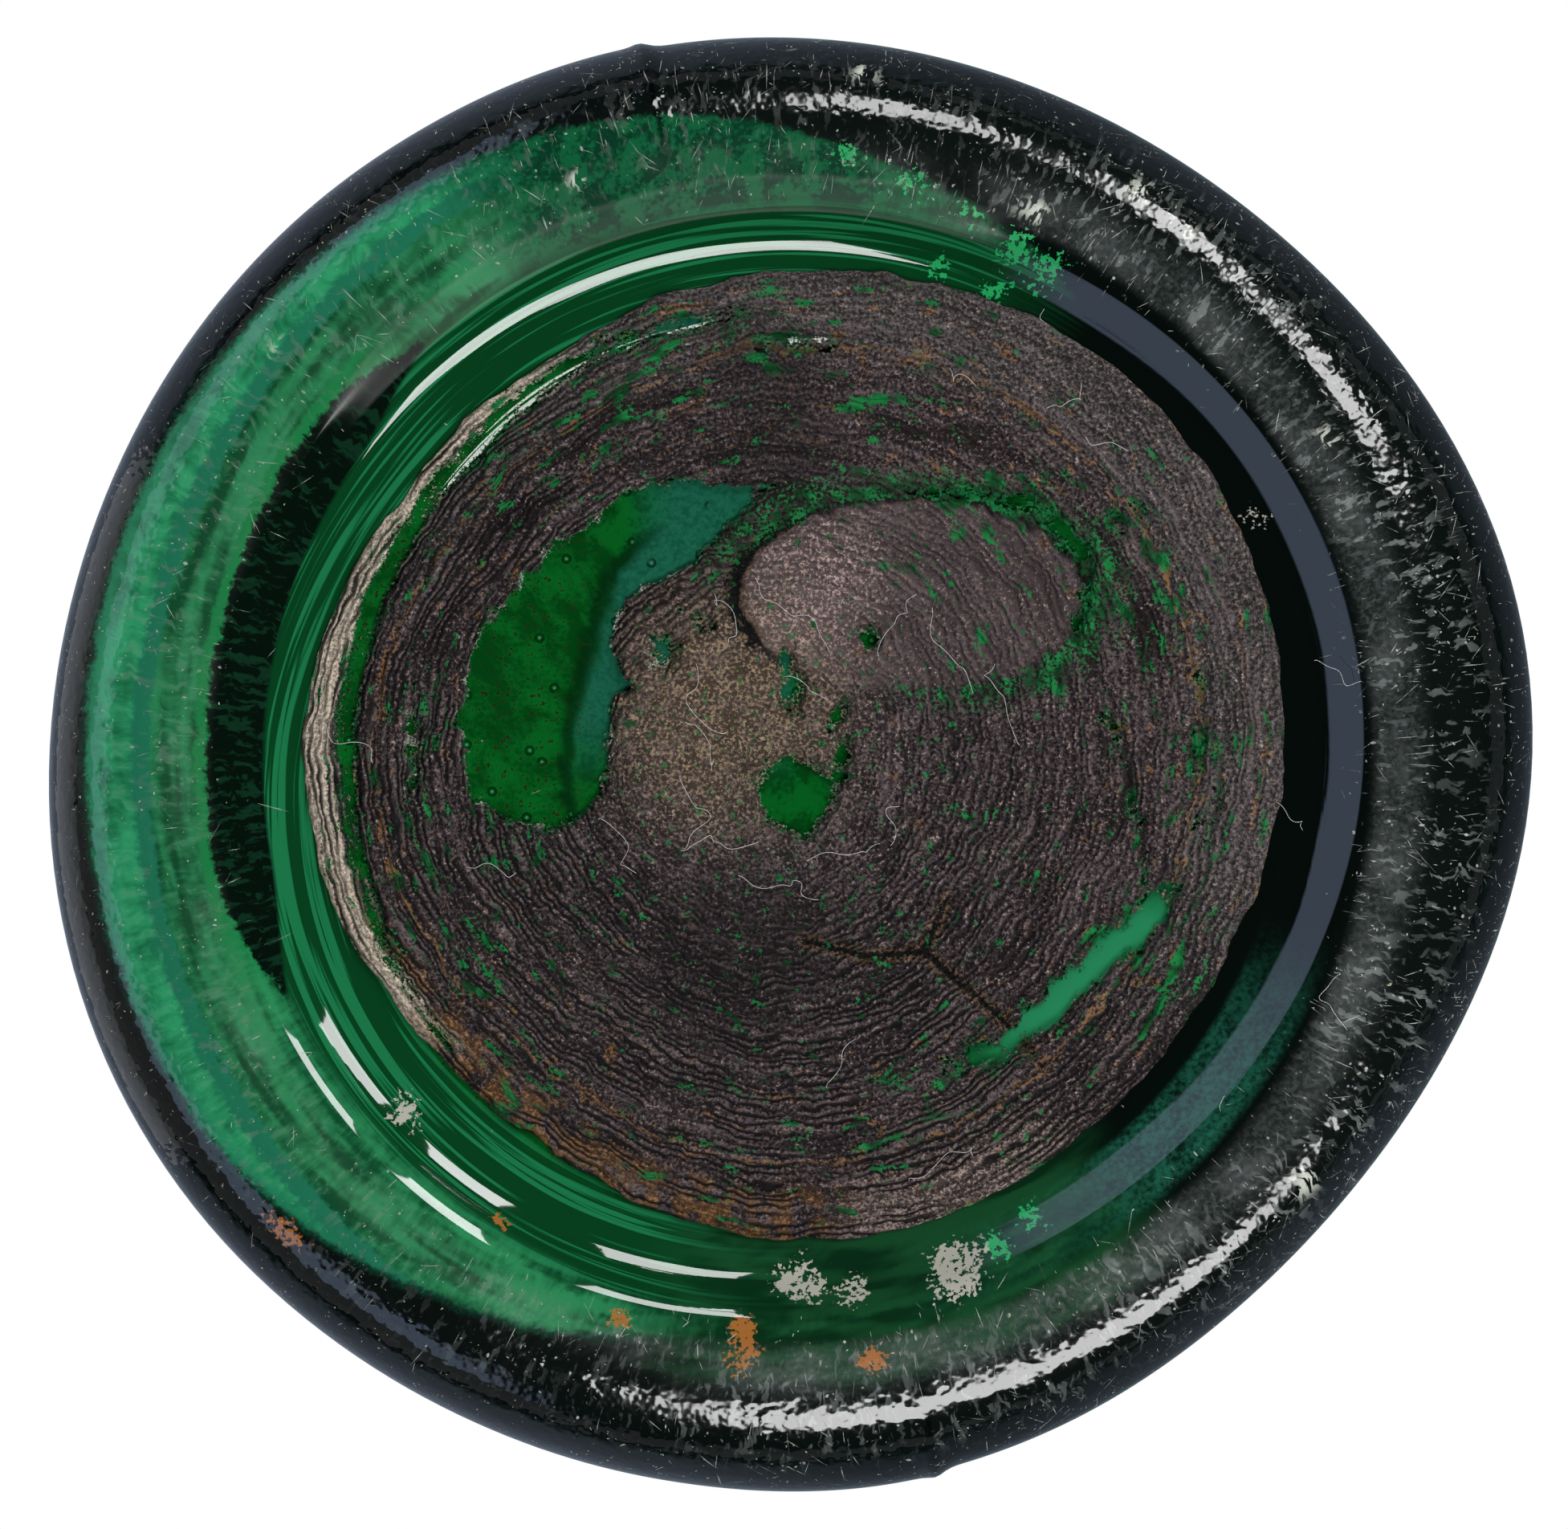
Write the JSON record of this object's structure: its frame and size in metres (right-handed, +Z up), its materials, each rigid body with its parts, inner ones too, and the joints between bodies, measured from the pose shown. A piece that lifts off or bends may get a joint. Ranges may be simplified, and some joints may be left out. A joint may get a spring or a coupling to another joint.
{
  "type": "mineral water bottle",
  "caption": "Antique mineral water bottle of thick green glass, with rounded shoulders, a collared mouth and an iron-pontilled push-up under an out-of-round base.",
  "frame": {"origin": "centre of the base, on the plane that the bottle stands on", "axes": "+Z up the bottle's axis to the mouth; +X to the right and +Y to the bottom of the picture, which looks up at the base"},
  "size_m": [0.0649, 0.0638, 0.186],
  "materials": {
    "green_glass": "glossy, seedy emerald glass, scratched dull on the standing ring",
    "iron_oxide": "matte purplish-brown iron scale with traces of rust"
  },
  "bodies": {
    "root": {"glass_bottle": "green_glass", "iron_scale": "iron_oxide"}
  },
  "joints": []
}
